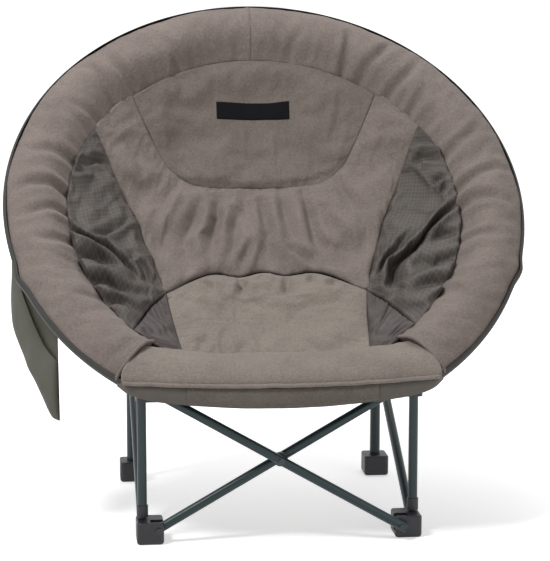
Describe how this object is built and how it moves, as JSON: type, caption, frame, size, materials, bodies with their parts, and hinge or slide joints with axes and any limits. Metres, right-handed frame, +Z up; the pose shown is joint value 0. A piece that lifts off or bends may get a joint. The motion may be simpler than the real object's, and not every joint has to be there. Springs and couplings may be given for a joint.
{
  "type": "folding padded hoop chair",
  "caption": "Folding outdoor chair: padded round hoop and dished sling on scissor legs with telescoping front posts, bent rear posts and a side pocket.",
  "frame": {"origin": "floor level, centre of the plan of the whole chair", "axes": "+X to the viewer's right, -Y to the front, +Z up"},
  "size_m": [0.9194, 0.6356, 0.8843],
  "materials": {
    "frame_paint": "dark green-blue powder coat, satin",
    "black_plastic": "moulded, satin",
    "pin_steel": "plain",
    "fleece": "short taupe fleece",
    "head_fleece": "short taupe fleece, darker",
    "seat_fleece": "short tan fleece",
    "ripstop": "shiny woven grey-brown",
    "nylon": "smooth grey",
    "sling_cloth": "dark oxford cloth",
    "pocket_cloth": "olive oxford cloth",
    "label_cloth": "plain dark patch, bare"
  },
  "bodies": {
    "left_base": {"left_front_foot": "black_plastic", "left_inner_post": "frame_paint", "left_side_brace": "frame_paint", "left_foot_pin": "pin_steel", "left_rear_foot": "black_plastic", "left_rear_post": "frame_paint", "left_brace_clamp": "black_plastic", "left_hoop_rest": "black_plastic"},
    "cross_a": {"cross_tube_a": "frame_paint", "cross_spacer": "black_plastic", "cross_rivet": "pin_steel"},
    "cross_b": {"cross_tube_b": "frame_paint"},
    "right_base": {"right_front_foot": "black_plastic", "right_inner_post": "frame_paint", "right_side_brace": "frame_paint", "right_foot_pin": "pin_steel", "right_rear_foot": "black_plastic", "right_rear_post": "frame_paint", "right_brace_clamp": "black_plastic", "right_hoop_rest": "black_plastic"},
    "left_corner": {"left_outer_post": "frame_paint", "left_post_collar": "black_plastic", "left_corner_bracket": "black_plastic", "left_eye_pin": "pin_steel", "left_corner_pin": "pin_steel"},
    "right_corner": {"right_outer_post": "frame_paint", "right_post_collar": "black_plastic", "right_corner_bracket": "black_plastic", "right_eye_pin": "pin_steel", "right_corner_pin": "pin_steel"},
    "left_hoop": {"left_hoop_upper_tube": "frame_paint", "left_hoop_lower_tube": "frame_paint", "left_hoop_sleeve": "black_plastic", "left_corner_eye": "black_plastic", "left_top_knuckle": "black_plastic", "top_hinge_pin": "pin_steel", "sling": "sling_cloth", "head_panel": "head_fleece", "back_panel": "fleece", "seat_panel": "seat_fleece", "blank_label": "label_cloth", "front_roll": "fleece", "front_hem": "sling_cloth", "side_pocket": "pocket_cloth", "left_side_panel": "ripstop", "left_corner_panel": "nylon", "left_rim_pad": "fleece"},
    "right_hoop": {"right_hoop_upper_tube": "frame_paint", "right_hoop_lower_tube": "frame_paint", "right_hoop_sleeve": "black_plastic", "right_corner_eye": "black_plastic", "right_top_knuckle": "black_plastic", "right_side_panel": "ripstop", "right_corner_panel": "nylon", "right_rim_pad": "fleece"}
  },
  "joints": [
    {"name": "fold", "type": "hinge", "parent": "left_base", "child": "cross_a", "pos_m": [-0.20371, -0.2336, 0.024], "axis": [0, -1, 0], "range_deg": [0, 47], "deforming": ["sling", "head_panel", "back_panel", "seat_panel", "blank_label", "front_roll", "front_hem", "left_side_panel", "left_corner_panel", "left_rim_pad", "right_side_panel", "right_corner_panel", "right_rim_pad", "side_pocket"]},
    {"name": "cross_pivot", "type": "hinge", "parent": "cross_a", "child": "cross_b", "pos_m": [0.00229, -0.2336, 0.14293], "axis": [0, -1, 0], "range_deg": [-94, 0]},
    {"name": "right_foot_pivot", "type": "hinge", "parent": "cross_b", "child": "right_base", "pos_m": [0.20829, -0.2571, 0.024], "axis": [0, -1, 0], "range_deg": [0, 47]},
    {"name": "left_corner_pivot", "type": "hinge", "parent": "cross_b", "child": "left_corner", "pos_m": [-0.20371, -0.2571, 0.26187], "axis": [0, -1, 0], "range_deg": [0, 47]},
    {"name": "right_corner_pivot", "type": "hinge", "parent": "cross_a", "child": "right_corner", "pos_m": [0.20829, -0.2336, 0.26187], "axis": [0, -1, 0], "range_deg": [-47, 0]},
    {"name": "left_hoop_hinge", "type": "hinge", "parent": "left_corner", "child": "left_hoop", "pos_m": [-0.20371, -0.2286, 0.298], "axis": [0, 0.5621, 0.827], "range_deg": [0, 47]},
    {"name": "top_hinge", "type": "hinge", "parent": "left_hoop", "child": "right_hoop", "pos_m": [0.00229, 0.30057, 0.86497], "axis": [0, 0.5621, 0.827], "range_deg": [-94, 0]}
  ],
  "couplings": [
    {"joint": "cross_pivot", "follows": "fold", "ratio": -2},
    {"joint": "right_foot_pivot", "follows": "fold", "ratio": 1},
    {"joint": "left_corner_pivot", "follows": "fold", "ratio": 1},
    {"joint": "right_corner_pivot", "follows": "fold", "ratio": -1},
    {"joint": "left_hoop_hinge", "follows": "fold", "ratio": 1},
    {"joint": "top_hinge", "follows": "fold", "ratio": -2}
  ]
}
